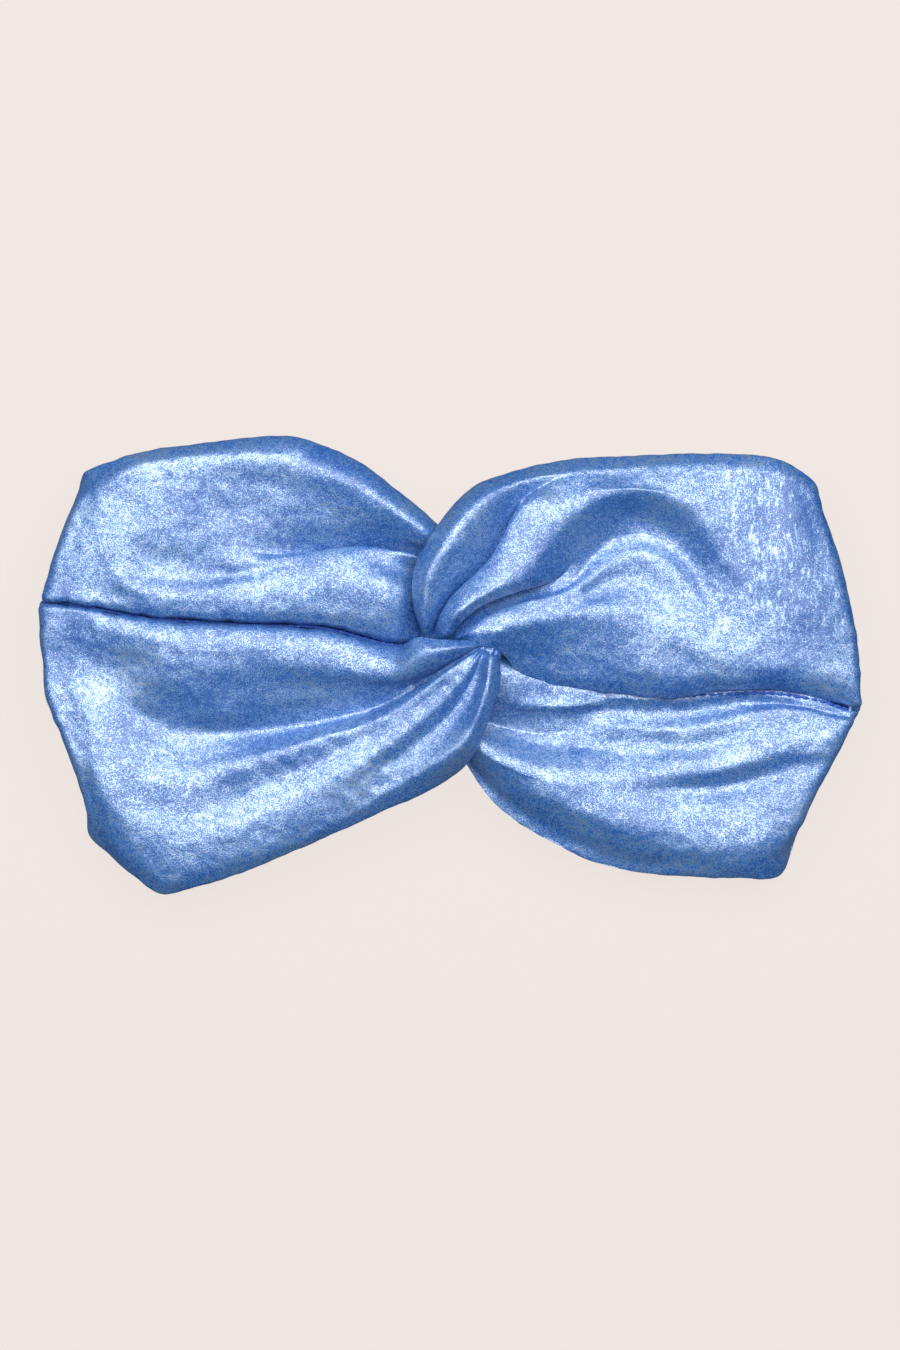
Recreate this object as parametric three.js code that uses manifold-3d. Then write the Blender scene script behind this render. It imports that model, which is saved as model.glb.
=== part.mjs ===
// A twist-front headband lying flat. Two loops of folded satin hook through each other at
// the knot, the two legs of each loop are sewn together side by side, and a narrow back
// with an elastic insert closes the band. Everything soft is a plain closed solid here.
// Millimetres. +X runs along the band, +Y towards the upper rim, and +Z away from the
// surface it lies on. The origin is on that surface, under the middle of the band.
import * as THREE from "three";
import { mergeVertices } from "three/addons/utils/BufferGeometryUtils.js";
import Module from "manifold-3d";

const wasm = await Module();
wasm.setup();

// Driving dimensions
const bandLength = 231.5; // side fold to side fold
const bandWidth = 128.5; // widest place of the front, rim to rim
const centreLength = 64; // elastic insert, and the knot stretch that lies over it
const strapThickness = 5; // gathered satin of the back
const headGap = 7; // from the back up to the front, where the head goes
const legHeight = 15; // a front leg, from its underside to its crown
const strapSideWidth = 52; // back strap where it meets the front
const strapWidth = 40; // back strap where it meets the elastic insert
const sideInset = 7; // from a side fold in to the line that it turns about
const lowStrandRise = 5; // from the front's underside to a strand that passes under, at the knot
const highStrandRise = 20; // the same for a strand that passes over
const strandEndThickness = 13; // a loop's knot stretch where it meets its leg
const casingWall = 1.1; // gathered satin round the elastic
const elasticWidth = 25;
const elasticThickness = 1.2;
const seamWidth = 1.2; // sewn edge between the two legs of a loop
const seamHeight = 4;
const stitchWidth = 1.2; // a sewn row across the back
const stitchHeight = 0.5;
const rimThickness = 4; // folded edge of a leg
const gap = 0.3; // left between pieces that touch

// Places worked out from them
const halfLength = bandLength / 2;
const halfWidth = bandWidth / 2;
const hingeX = centreLength / 2; // the front and the back turn about these lines
const sideHingeX = halfLength - sideInset;
const frontUnderside = strapThickness + headGap;
const sideMiddle = strapThickness + headGap / 2; // height of the side folds' turning line
const legInset = seamWidth / 2 + gap; // from the seam line to the edge of a leg

// Edges of the front's legs as [share of the way from the hinge line to the side fold,
// share of half the width]
const edges = {
  left: {
    upper: [
      [0, 0.93], [0.07, 0.973], [0.12, 0.99], [0.215, 1], [0.454, 0.975], [0.69, 0.92],
      [0.81, 0.865], [0.866, 0.82], [0.895, 0.72], [0.93, 0.6], [0.967, 0.47], [1, 0.3],
    ],
    seam: [
      [0, 0.151], [0.095, 0.168], [0.215, 0.171], [0.454, 0.187], [0.69, 0.215],
      [0.86, 0.258], [1, 0.27],
    ],
    lower: [
      [0, -0.73], [0.095, -0.79], [0.215, -0.85], [0.334, -0.91], [0.454, -0.965],
      [0.585, -1], [0.69, -0.91], [0.81, -0.79], [0.86, -0.59], [0.89, -0.45],
      [0.93, -0.31], [0.967, -0.18], [1, -0.08],
    ],
  },
  right: {
    upper: [
      [0, 0.893], [0.215, 0.912], [0.573, 0.925], [0.69, 0.906], [0.81, 0.825],
      [0.854, 0.715], [0.89, 0.62], [0.92, 0.48], [0.947, 0.33], [0.972, 0.155], [1, 0],
    ],
    seam: [[0, -0.093], [0.215, -0.128], [0.334, -0.14], [0.67, -0.107], [0.836, -0.137], [1, -0.2]],
    lower: [
      [0, -0.8], [0.095, -0.865], [0.24, -0.91], [0.454, -0.927], [0.645, -0.937],
      [0.72, -0.9], [0.764, -0.78], [0.81, -0.62], [0.872, -0.465], [0.93, -0.31],
      [0.972, -0.24], [1, -0.2],
    ],
  },
};
// Where a seam reaches the knot: [share of the hinge line's distance, share of half the width]
const seamEnds = { left: [0.53, 0.092], right: [0.53, -0.047] };
// Where a leg's sections lie, as shares of the way from the hinge line to the side fold
const legStations = [
  0.996, 0.982, 0.96, 0.93, 0.895, 0.86, 0.82, 0.765, 0.7, 0.585, 0.45, 0.32, 0.2, 0.1,
];

const satin = new THREE.MeshStandardMaterial({
  color: 0x4a86dc, roughness: 0.4, metalness: 0.7, side: THREE.DoubleSide,
});
const backSatin = new THREE.MeshStandardMaterial({ color: 0x3467bd, roughness: 0.45, metalness: 0.6 });
const thread = new THREE.MeshStandardMaterial({ color: 0x2b50a0, roughness: 0.7, metalness: 0 });
const elasticWeb = new THREE.MeshStandardMaterial({ color: 0xeeeeea, roughness: 0.85, metalness: 0 });

const sides = { left: -1, right: 1 };

// A distance from the middle of the band, at a share of the way from the hinge line to the side.
function reachAt(share) {
  return hingeX + gap / 2 + (halfLength - hingeX - gap / 2) * share;
}

// How far up the band an edge lies at a share of its way, along straight lines between points.
function edgeAt(edge, share) {
  const next = Math.max(1, edge.findIndex((point) => point[0] >= share));
  const [from, yFrom] = edge[next - 1];
  const [to, yTo] = edge[next];
  return (yFrom + ((yTo - yFrom) * (share - from)) / (to - from)) * halfWidth;
}

// A closed solid through rings of points, with a flat cap on the first and the last ring.
function loft(rings) {
  const around = rings[0].length;
  const middles = [rings[0], rings[rings.length - 1]].map((ring) =>
    ring.reduce((sum, point) => sum.add(point), new THREE.Vector3()).divideScalar(around),
  );
  const points = [...rings.flat(), ...middles];
  const faces = [];
  for (let i = 0; i + 1 < rings.length; i++) {
    for (let j = 0; j < around; j++) {
      const a = i * around + j;
      const b = i * around + ((j + 1) % around);
      faces.push(a, b, b + around, a, b + around, a + around);
    }
  }
  const lastRing = (rings.length - 1) * around;
  for (let j = 0; j < around; j++) {
    const k = (j + 1) % around;
    faces.push(points.length - 2, k, j, points.length - 1, lastRing + j, lastRing + k);
  }
  const geometry = new THREE.BufferGeometry().setFromPoints(points);
  geometry.setIndex(signedVolume(points, faces) < 0 ? faces.reverse() : faces);
  geometry.computeVertexNormals();
  return geometry;
}

function signedVolume(points, faces) {
  const cross = new THREE.Vector3();
  let volume = 0;
  for (let i = 0; i < faces.length; i += 3) {
    cross.crossVectors(points[faces[i + 1]], points[faces[i + 2]]);
    volume += points[faces[i]].dot(cross) / 6;
  }
  return volume;
}

// A rounded ring across the band at x, between two sides and two heights.
function flatRing(x, yLow, yHigh, zLow, zHigh, steps = 6) {
  const radius = Math.min(zHigh - zLow, yHigh - yLow) / 2;
  const ring = [];
  for (const [y, start] of [[yHigh - radius, -Math.PI / 2], [yLow + radius, Math.PI / 2]]) {
    for (let k = 0; k <= steps; k++) {
      const angle = start + (Math.PI * k) / steps;
      const z = (zLow + zHigh) / 2 + ((zHigh - zLow) / 2) * Math.sin(angle);
      ring.push(new THREE.Vector3(x, y + radius * Math.cos(angle), z));
    }
  }
  return ring;
}

function boxRing(x, yLow, yHigh, zLow, zHigh) {
  return [[yLow, zLow], [yHigh, zLow], [yHigh, zHigh], [yLow, zHigh]].map(
    ([y, z]) => new THREE.Vector3(x, y, z),
  );
}

// Height of a leg's underside and top: level, and rounded down to the side fold's middle.
function legHeights(share) {
  const roundFrom = 0.765;
  const turn = Math.max(0, (share - roundFrom) / (1.04 - roundFrom));
  const fall = Math.sqrt(1 - turn * turn);
  const lowest = sideMiddle + gap / 2;
  const low = lowest + (frontUnderside - lowest) * Math.min(1, 4 * (1 - turn));
  return [low, low + legHeight * fall];
}

// The inner and the outer edge of a leg at a share of its way.
function legEdges(word, which, share) {
  const inset = which === "upper" ? legInset : -legInset;
  return [edgeAt(edges[word].seam, share) + inset, edgeAt(edges[word][which], share)];
}

// A leg of a loop: flat underneath and crowned on top, from the side fold to the hinge line.
function frontLeg(word, which) {
  const crownSteps = 10;
  const rings = [...legStations, 0].map((share) => {
    const x = sides[word] * reachAt(share);
    const [inner, outer] = legEdges(word, which, share);
    const [low, high] = legHeights(share);
    const edge = Math.min(rimThickness, 0.4 * (high - low));
    const ring = [new THREE.Vector3(x, inner, low), new THREE.Vector3(x, outer, low)];
    for (let k = 0; k <= crownSteps; k++) {
      const angle = (Math.PI * k) / crownSteps;
      const y = (inner + outer) / 2 + ((outer - inner) / 2) * Math.cos(angle);
      const crown = (high - low - edge) * Math.sin(angle) ** 0.7;
      ring.push(new THREE.Vector3(x, y, low + edge + crown));
    }
    return ring;
  });
  return loft(rings);
}

// The sewn edge between two legs, through points in plan.
function seamRibbon(points) {
  const low = frontUnderside + gap;
  return loft(
    points.map(([x, y]) => boxRing(x, y - seamWidth / 2, y + seamWidth / 2, low, low + seamHeight)),
  );
}

function frontSeam(word) {
  const steps = 12;
  const end = 0.92; // short of the side fold
  return seamRibbon(
    Array.from({ length: steps + 1 }, (_, i) => {
      const share = (end * i) / steps;
      return [sides[word] * reachAt(share), edgeAt(edges[word].seam, share)];
    }),
  );
}

function knotSeam(word) {
  const [reach, rise] = seamEnds[word];
  return seamRibbon([
    [sides[word] * (hingeX - gap / 2), edgeAt(edges[word].seam, 0)],
    [sides[word] * reach * hingeX, rise * halfWidth],
  ]);
}

// The knot stretch of each loop, from one leg round the other loop to the other leg:
// [share of the hinge line's distance, share of half the width, heading in degrees,
// width as a share of half the width, thickness, middle height]. Its two ends meet the legs.
const strandLow = frontUnderside + lowStrandRise;
const strandHigh = frontUnderside + highStrandRise;
const strandMiddle = (strandLow + strandHigh) / 2;
const legMiddle = frontUnderside + strandEndThickness / 2 + gap;
const leftLoop = [
  [-0.69, 0.49, -4, 0.67, 12, legMiddle - 0.6],
  [-0.375, 0.428, -12, 0.53, 11, strandLow + 0.8],
  [-0.06, 0.35, -25, 0.374, 9.6, strandLow],
  [0.172, 0.249, -55, 0.265, 10, strandLow + 1.5],
  [0.2375, 0.093, -95, 0.187, 13, strandMiddle],
  [0.11, -0.062, -130, 0.28, 12, strandHigh - 1],
  [-0.156, -0.163, -155, 0.42, 13, strandHigh],
  [-0.5, -0.241, -170, 0.576, 14, strandHigh - 5],
  [-0.75, -0.272, -178, 0.716, 14, legMiddle + 2.5],
];
const rightLoop = [
  [0.72, -0.397, 175, 0.59, 12, legMiddle - 0.6],
  [0.406, -0.288, 166, 0.4825, 11, strandLow + 0.8],
  [0.094, -0.179, 152, 0.374, 9.6, strandLow],
  [-0.15, -0.062, 122, 0.265, 10, strandLow + 1.5],
  [-0.206, 0.093, 85, 0.187, 13, strandMiddle],
  [-0.078, 0.249, 50, 0.28, 12, strandHigh - 1],
  [0.1875, 0.35, 25, 0.436, 13, strandHigh],
  [0.516, 0.412, 8, 0.6225, 14, strandHigh - 5],
  [0.766, 0.42, 2, 0.794, 14, legMiddle + 2.5],
];

// All of a loop's stations in millimetres, with the two where it meets its legs.
function loopStations(word, middle) {
  const end = (which, heading) => {
    const [inner, outer] = legEdges(word, which, 0);
    const x = sides[word] * (hingeX - gap / 2);
    const width = Math.abs(outer - inner);
    return [x, (inner + outer) / 2, heading, width, strandEndThickness, legMiddle];
  };
  const inside = middle.map(([reach, rise, heading, width, thickness, height]) => [
    reach * hingeX, rise * halfWidth, heading, width * halfWidth, thickness, height,
  ]);
  return word === "left"
    ? [end("upper", 0), ...inside, end("lower", -180)]
    : [end("lower", 180), ...inside, end("upper", 0)];
}

// Each column of the stations runs on a smooth curve, and each ring is a rounded box.
function hookedStrand(stations, grow = 0) {
  const stepsBetween = 3;
  const roundness = 0.75;
  const around = 14;
  const rings = [];
  for (let i = 0; i + 1 < stations.length; i++) {
    const four = [stations[Math.max(i - 1, 0)], stations[i], stations[i + 1],
      stations[Math.min(i + 2, stations.length - 1)]];
    for (let k = 0; k < stepsBetween; k++) rings.push(between(four, k / stepsBetween));
  }
  rings.push(stations[stations.length - 1]);
  return loft(
    rings.map(([x, y, heading, width, thickness, height]) => {
      const across = THREE.MathUtils.degToRad(heading + 90);
      return Array.from({ length: around }, (_, k) => {
        const angle = (2 * Math.PI * k) / around;
        const rounded = (value) => Math.sign(value) * Math.abs(value) ** roundness;
        const side = (width / 2 + grow) * rounded(Math.cos(angle));
        const rise = (thickness / 2 + grow) * rounded(Math.sin(angle));
        return new THREE.Vector3(
          x + side * Math.cos(across), y + side * Math.sin(across), height + rise,
        );
      });
    }),
  );
}

// A point of a smooth curve through the middle two of four stations, column by column.
function between([before, from, to, after], t) {
  return from.map((value, column) => {
    const startSlope = (to[column] - before[column]) / 2;
    const endSlope = (after[column] - value) / 2;
    const change = to[column] - value;
    return (
      value + startSlope * t + (3 * change - 2 * startSlope - endSlope) * t ** 2 +
      (startSlope + endSlope - 2 * change) * t ** 3
    );
  });
}

function toSolid(geometry) {
  const shared = geometry.clone();
  shared.deleteAttribute("normal");
  const merged = mergeVertices(shared, 1e-4);
  return new wasm.Manifold(
    new wasm.Mesh({
      numProp: 3,
      vertProperties: merged.attributes.position.array,
      triVerts: new Uint32Array(merged.index.array),
    }),
  );
}

function toGeometry(solid) {
  const mesh = solid.getMesh();
  const geometry = new THREE.BufferGeometry();
  geometry.setAttribute("position", new THREE.BufferAttribute(mesh.vertProperties, 3));
  geometry.setIndex(new THREE.BufferAttribute(mesh.triVerts, 1));
  geometry.computeVertexNormals();
  return geometry;
}

// A gathered strap of the back, from the side fold's turning line to the elastic insert.
function backStrap(side) {
  const outer = sideHingeX - gap / 2;
  const inner = hingeX + gap / 2;
  const steps = 8;
  const rings = [];
  for (let i = 0; i <= steps; i++) {
    const t = i / steps;
    const width = THREE.MathUtils.lerp(strapSideWidth, strapWidth, Math.min(1, 1.6 * t));
    const x = side * THREE.MathUtils.lerp(outer, inner, t);
    rings.push(flatRing(x, -width / 2, width / 2, 0, strapThickness));
  }
  return loft(rings);
}

// The elastic insert's cloth tube, open at both ends.
function elasticCasing() {
  const end = hingeX - gap / 2;
  const tube = (reach, wall) =>
    loft([-reach, reach].map((x) =>
      flatRing(x, wall - strapWidth / 2, strapWidth / 2 - wall, wall, strapThickness - wall)));
  return toGeometry(toSolid(tube(end, 0)).subtract(toSolid(tube(end + 1, casingWall))));
}

function piece(name, geometry, material) {
  const mesh = new THREE.Mesh(geometry, material);
  mesh.name = name;
  return mesh;
}

// A sewn row across the strap, lying just over it.
function stitchRow(name, x, length) {
  const row = piece(name, new THREE.BoxGeometry(stitchWidth, length, stitchHeight), thread);
  row.position.set(x, 0, strapThickness + gap + stitchHeight / 2);
  return row;
}

const headband = new THREE.Group();

const back = new THREE.Group();
const elastic = piece(
  "elastic_band",
  new THREE.BoxGeometry(centreLength - 2, elasticWidth, elasticThickness),
  elasticWeb,
);
elastic.position.z = strapThickness / 2;
back.add(piece("elastic_casing", elasticCasing(), backSatin), elastic);
headband.add(back);

const stitchMargin = 6; // from a sewn row to the end of the piece that it holds
for (const [word, side] of Object.entries(sides)) {
  back.add(stitchRow(`${word}_casing_stitching`, side * (hingeX - stitchMargin), strapWidth - 8));

  const strap = new THREE.Group();
  strap.add(
    piece(`${word}_back_strap`, backStrap(side), backSatin),
    stitchRow(`${word}_side_stitching`, side * (sideHingeX - stitchMargin), strapSideWidth - 10),
  );

  const wing = new THREE.Group();
  wing.add(
    piece(`${word}_upper_leg`, frontLeg(word, "upper"), satin),
    piece(`${word}_lower_leg`, frontLeg(word, "lower"), satin),
    piece(`${word}_front_seam`, frontSeam(word), thread),
  );
  headband.add(strap, wing);
}

const knot = new THREE.Group();
const leftTurn = hookedStrand(loopStations("left", leftLoop));
const roundLeftTurn = hookedStrand(loopStations("left", leftLoop), gap);
const rightTurn = hookedStrand(loopStations("right", rightLoop));
knot.add(
  piece("left_loop_turn", leftTurn, satin),
  piece("right_loop_turn", toGeometry(toSolid(rightTurn).subtract(toSolid(roundLeftTurn))), satin),
  piece("left_knot_seam", knotSeam("left"), thread),
  piece("right_knot_seam", knotSeam("right"), thread),
);
headband.add(knot);

export default headband;
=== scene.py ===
import math

import bpy
import numpy as np
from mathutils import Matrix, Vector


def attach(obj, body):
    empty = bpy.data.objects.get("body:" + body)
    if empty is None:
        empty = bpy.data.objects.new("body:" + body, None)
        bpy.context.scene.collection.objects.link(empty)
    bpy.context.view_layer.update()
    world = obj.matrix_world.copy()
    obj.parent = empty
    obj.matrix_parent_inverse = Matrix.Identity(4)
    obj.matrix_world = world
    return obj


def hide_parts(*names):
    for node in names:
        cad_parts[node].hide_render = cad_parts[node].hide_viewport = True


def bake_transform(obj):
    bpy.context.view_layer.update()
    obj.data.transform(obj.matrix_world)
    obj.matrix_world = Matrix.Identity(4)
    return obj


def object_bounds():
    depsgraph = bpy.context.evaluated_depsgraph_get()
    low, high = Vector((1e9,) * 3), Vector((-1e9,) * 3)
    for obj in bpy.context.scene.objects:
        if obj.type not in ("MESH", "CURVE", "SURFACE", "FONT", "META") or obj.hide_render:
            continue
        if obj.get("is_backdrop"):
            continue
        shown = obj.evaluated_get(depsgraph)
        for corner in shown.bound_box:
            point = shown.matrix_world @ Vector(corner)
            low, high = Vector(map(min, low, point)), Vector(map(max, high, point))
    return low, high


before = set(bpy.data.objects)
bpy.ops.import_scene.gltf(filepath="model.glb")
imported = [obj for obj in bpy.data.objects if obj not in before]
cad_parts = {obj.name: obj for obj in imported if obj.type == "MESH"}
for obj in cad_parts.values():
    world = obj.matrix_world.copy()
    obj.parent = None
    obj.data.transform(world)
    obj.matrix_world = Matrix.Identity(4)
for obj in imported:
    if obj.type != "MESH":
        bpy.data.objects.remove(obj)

mm = 0.001
cadBox = [list(corner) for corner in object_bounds()]
scene = bpy.context.scene
scene.view_settings.view_transform = "Standard"
print("frame loaded")

# surfaces: guides are drawn in millimetres, from the side fold to the knot

gridStep = 0.5   # mm between the points of a cloth grid


def splineThrough(points, shares):
    # natural cubic through the given points, spaced by the root of the distance between them
    points = np.asarray(points, float)
    steps = np.sqrt(np.linalg.norm(np.diff(points, axis=0), axis=1))
    knots = np.concatenate([[0], np.cumsum(steps)]) / steps.sum()
    gaps = np.diff(knots)[:, None]
    count = len(points)
    system = np.eye(count)
    right = np.zeros_like(points)
    inner = np.arange(1, count - 1)
    system[inner, inner - 1] = gaps[:-1, 0]
    system[inner, inner] = 2 * (gaps[:-1, 0] + gaps[1:, 0])
    system[inner, inner + 1] = gaps[1:, 0]
    slopes = np.diff(points, axis=0) / gaps
    right[1:-1] = 6 * np.diff(slopes, axis=0)
    bend = np.linalg.solve(system, right)
    cell = np.clip(np.searchsorted(knots, shares, side="right") - 1, 0, count - 2)
    t = ((shares - knots[cell]) / gaps[cell, 0])[:, None]
    h = gaps[cell]
    a, b = points[cell], points[cell + 1]
    return (a * (1 - t) + b * t
            + h ** 2 / 6 * ((1 - t) ** 3 - (1 - t)) * bend[cell]
            + h ** 2 / 6 * (t ** 3 - t) * bend[cell + 1])


def evenSpline(points, shares):
    # the same spline, walked at an even pace: its length is measured on a fine copy first
    fine = splineThrough(points, np.linspace(0, 1, 400))
    length = np.concatenate([[0], np.cumsum(np.linalg.norm(np.diff(fine[:, :3], axis=0), axis=1))])
    return np.stack([np.interp(shares * length[-1], length, column) for column in fine.T], axis=1)


def acrossGuides(rows, step, tightness):
    # rows: guide x along x 3, closed round the section. Between two guides the surface is a
    # cubic whose end slopes are the average slope of the neighbouring spans, scaled by tightness,
    # guide x along: 1 is rounded, 0 is a crease
    following = np.roll(rows, -1, axis=0)
    span = np.maximum(np.linalg.norm(following - rows, axis=2, keepdims=True), 0.15)
    lastSpan = np.roll(span, 1, axis=0)
    slope = (following - rows) / span
    lastSlope = np.roll(slope, 1, axis=0)
    tangent = (slope * lastSpan + lastSlope * span) / (span + lastSpan)
    tangent = tangent * tightness[:, :, None]
    nextTangent = np.roll(tangent, -1, axis=0)
    strips = []
    for i in range(len(rows)):
        count = max(3, int(round(span[i].mean() / step)))
        t = (np.arange(count) / count)[:, None, None]
        strips.append((2 * t ** 3 - 3 * t ** 2 + 1) * rows[i] + (3 * t ** 2 - 2 * t ** 3) * following[i]
                      + (t ** 3 - 2 * t ** 2 + t) * span[i] * tangent[i]
                      + (t ** 3 - t ** 2) * span[i] * nextTangent[i])
    return np.concatenate(strips)


def gridNormals(grid):
    # normal of a closed-round grid: across-step x along-step
    across = np.roll(grid, -1, axis=0) - np.roll(grid, 1, axis=0)
    along = np.gradient(grid, axis=1)
    normal = np.cross(across, along)
    return normal / np.maximum(np.linalg.norm(normal, axis=2, keepdims=True), 1e-9)


def softNoise(x, y, size, seed):
    # smoothed random heights on a square lattice of that size, between -1 and 1
    table = np.random.default_rng(seed).uniform(-1, 1, (97, 97))
    u, v = x / size, y / size
    i, j = np.floor(u).astype(int), np.floor(v).astype(int)
    s, t = u - i, v - j
    s, t = s * s * (3 - 2 * s), t * t * (3 - 2 * t)
    corner = lambda di, dj: table[(i + di) % 97, (j + dj) % 97]
    low = corner(0, 0) * (1 - s) + corner(1, 0) * s
    high = corner(0, 1) * (1 - s) + corner(1, 1) * s
    return low * (1 - t) + high * t


def gridMesh(name, grid, material):
    # grid: across x along x 3 in mm, closed round; both ends are closed with a fan
    across, along = grid.shape[:2]
    points = grid.reshape(-1, 3)
    ends = np.stack([grid[:, 0].mean(axis=0), grid[:, -1].mean(axis=0)])
    a = np.arange(across)[:, None] * along + np.arange(along - 1)[None]
    b = (np.arange(across)[:, None] + 1) % across * along + np.arange(along - 1)[None]
    quads = np.stack([a, b, b + 1, a + 1], axis=2).reshape(-1, 4)
    ring = np.arange(across) * along
    nextRing = np.roll(ring, -1)
    firstEnd, lastEnd = len(points), len(points) + 1
    firstCap = np.stack([np.full(across, firstEnd), nextRing, ring], axis=1)
    lastCap = np.stack([np.full(across, lastEnd), ring + along - 1, nextRing + along - 1], axis=1)
    vertices = np.concatenate([points, ends])
    corners = vertices[quads]
    diagonal = np.cross(corners[:, 2] - corners[:, 0], corners[:, 3] - corners[:, 1])
    outward = (corners.mean(axis=1) * diagonal).sum() > 0
    if not outward:
        quads, firstCap, lastCap = quads[:, ::-1], firstCap[:, ::-1], lastCap[:, ::-1]
    faces = quads.tolist() + firstCap.tolist() + lastCap.tolist()
    mesh = bpy.data.meshes.new(name)
    mesh.from_pydata((vertices * mm).tolist(), [], faces)
    mesh.shade_smooth()
    mesh.materials.append(material)
    piece = bpy.data.objects.new(name, mesh)
    scene.collection.objects.link(piece)
    return piece


# materials

class Socket:
    # wraps an output so that shader maths reads as Python
    def __init__(self, tree, output):
        self.tree, self.output = tree, output

    def maths(self, operation, *others, clamp=False):
        node = self.tree.nodes.new("ShaderNodeMath")
        node.operation, node.use_clamp = operation, clamp
        for place, value in enumerate((self, *others)):
            plug(self.tree, node.inputs[place], value)
        return Socket(self.tree, node.outputs[0])

    def __add__(self, other):
        return self.maths("ADD", other)

    def __sub__(self, other):
        return self.maths("SUBTRACT", other)

    def __mul__(self, other):
        return self.maths("MULTIPLY", other)

    def __truediv__(self, other):
        return self.maths("DIVIDE", other)

    def __pow__(self, other):
        return self.maths("POWER", other)

    def __radd__(self, other):
        return self.maths("ADD", other)

    def __rmul__(self, other):
        return self.maths("MULTIPLY", other)

    def __rsub__(self, other):
        return (self * -1.0).maths("ADD", other)


def plug(tree, entry, value):
    if isinstance(value, Socket):
        tree.links.new(value.output, entry)
    else:
        entry.default_value = value


class Shader:
    # owner is a new material or world
    def __init__(self, owner):
        owner.use_nodes = True
        self.owner, self.tree = owner, owner.node_tree
        self.tree.nodes.clear()

    def node(self, kind, settings=None, out=0, **entries):
        made = self.tree.nodes.new(kind)
        for key, value in (settings or {}).items():
            setattr(made, key, value)
        for key, value in entries.items():
            key = int(key[1:]) if key[0] == "_" else key.replace("_", " ")
            plug(self.tree, made.inputs[key], value)
        return Socket(self.tree, made.outputs[out]) if made.outputs else None

    def mix(self, factor, a, b):
        return self.node("ShaderNodeMix", {"data_type": "RGBA"}, out=2, _0=factor, _6=a, _7=b)

    def smooth(self, value, low, high):
        return self.node("ShaderNodeMapRange", {"interpolation_type": "SMOOTHSTEP"},
                         Value=value, From_Min=low, From_Max=high)

    def finish(self, **entries):
        surface = self.node("ShaderNodeBsdfPrincipled", **entries)
        self.node("ShaderNodeOutputMaterial", Surface=surface)
        return self.owner


def colour(red, green, blue):
    # sRGB 0..255 to the linear colour that Blender works in
    linear = [c / 255 / 12.92 if c < 10 else ((c / 255 + 0.055) / 1.055) ** 2.4 for c in (red, green, blue)]
    return (*linear, 1.0)


satinLook = {
    "dark": (0, 70, 150), "light": (18, 130, 208), "foil": (182, 204, 226), "warm": (252, 206, 184),
    "foilShare": 0.8, "roughness": 0.37, "grain": 0.34 * mm, "bump": 0.7,
}


def makeSatin(name, look):
    # blue cloth under a glossy film, with pale metallic foil on the high points of its grain
    shader = Shader(bpy.data.materials.new(name))
    place = shader.node("ShaderNodeTexCoord", out=3)
    across = shader.node("ShaderNodeSeparateXYZ", Vector=place)
    upward = Socket(shader.tree, across.output.node.outputs[1])
    fine = shader.node("ShaderNodeTexNoise", {"noise_dimensions": "3D"}, Vector=place,
                       Scale=1 / look["grain"], Detail=2.0, Roughness=0.7)
    clumps = shader.node("ShaderNodeTexNoise", Vector=place,
                         Scale=0.22 / look["grain"], Detail=3.0, Roughness=0.6)
    specks = shader.node("ShaderNodeTexNoise", Vector=place,
                         Scale=1.1 / look["grain"], Detail=1.0, Roughness=0.5)
    patches = shader.node("ShaderNodeTexNoise", Vector=place, Scale=60.0, Detail=2.0)
    # brushed streaks, long in y, on the flat right end of the upper leg
    drawn = shader.node("ShaderNodeVectorMath", {"operation": "MULTIPLY"}, _0=place, _1=(1, 0.3, 0.3))
    streaks = shader.node("ShaderNodeTexNoise", Vector=drawn, Scale=900.0, Detail=3.0, Roughness=0.65)
    brushed = shader.smooth(across, 0.060, 0.090) * shader.smooth(upward, -0.002, 0.018)
    streak = brushed * (shader.smooth(streaks, 0.46, 0.70) - 0.3)
    cover = fine + 0.32 * (clumps - 0.5) + 0.25 * (patches - 0.5) + 0.17 * streak
    foil = shader.smooth(cover, 0.50, 0.60)
    cloth = shader.mix(shader.smooth(cover, 0.42, 0.56), colour(*look["dark"]), colour(*look["light"]))
    pale = shader.mix(shader.smooth(specks, 0.58, 0.70) * 0.9, colour(*look["foil"]), colour(*look["warm"]))
    cloth = shader.mix(foil * 0.9, cloth, pale)
    metal = look["foilShare"] * foil
    rough = look["roughness"] + 0.12 * (clumps - 0.5) - 0.12 * (foil - 0.5)
    bumped = shader.node("ShaderNodeBump", Height=cover, Strength=look["bump"], Distance=0.2 * mm)
    return shader.finish(Base_Color=cloth, Metallic=metal, Roughness=rough, Normal=bumped, IOR=2.2,
                         Specular_Tint=(0.9, 0.93, 1.0, 1))


satin = makeSatin("shimmerSatin", satinLook)
# a darker copy of the satin: painted shade for the side turns, back straps and casing, which lie underneath
# and at the back
backSatin = makeSatin("backSatin", {**satinLook, "dark": (0, 62, 138), "light": (14, 118, 194)})


def makeThread(name, dark, light):
    shader = Shader(bpy.data.materials.new(name))
    place = shader.node("ShaderNodeTexCoord", out=3)
    twist = shader.node("ShaderNodeTexNoise", Vector=place, Scale=1400.0, Detail=1.0)
    shade = shader.mix(shader.smooth(twist, 0.35, 0.65), colour(*dark), colour(*light))
    return shader.finish(Base_Color=shade, Roughness=0.6)


def makeElastic():
    shader = Shader(bpy.data.materials.new("wovenElastic"))
    place = shader.node("ShaderNodeTexCoord", out=3)
    ribs = shader.node("ShaderNodeTexWave", {"bands_direction": "X"}, Vector=place,
                       Scale=310.0, Distortion=0.3)
    shade = shader.mix(ribs, colour(196, 197, 199), colour(238, 238, 235))
    return shader.finish(Base_Color=shade, Roughness=0.75)


threadLook = makeThread("seamThread", (22, 58, 140), (44, 92, 184))
elasticLook = makeElastic()
print("materials made")

# the four legs
# Each guide is a line (x, y, z) from the side fold's middle height to the knot. The
# guides of a leg go round its section, and "tight" softens (1) or sharpens (0) the cloth there.

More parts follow.
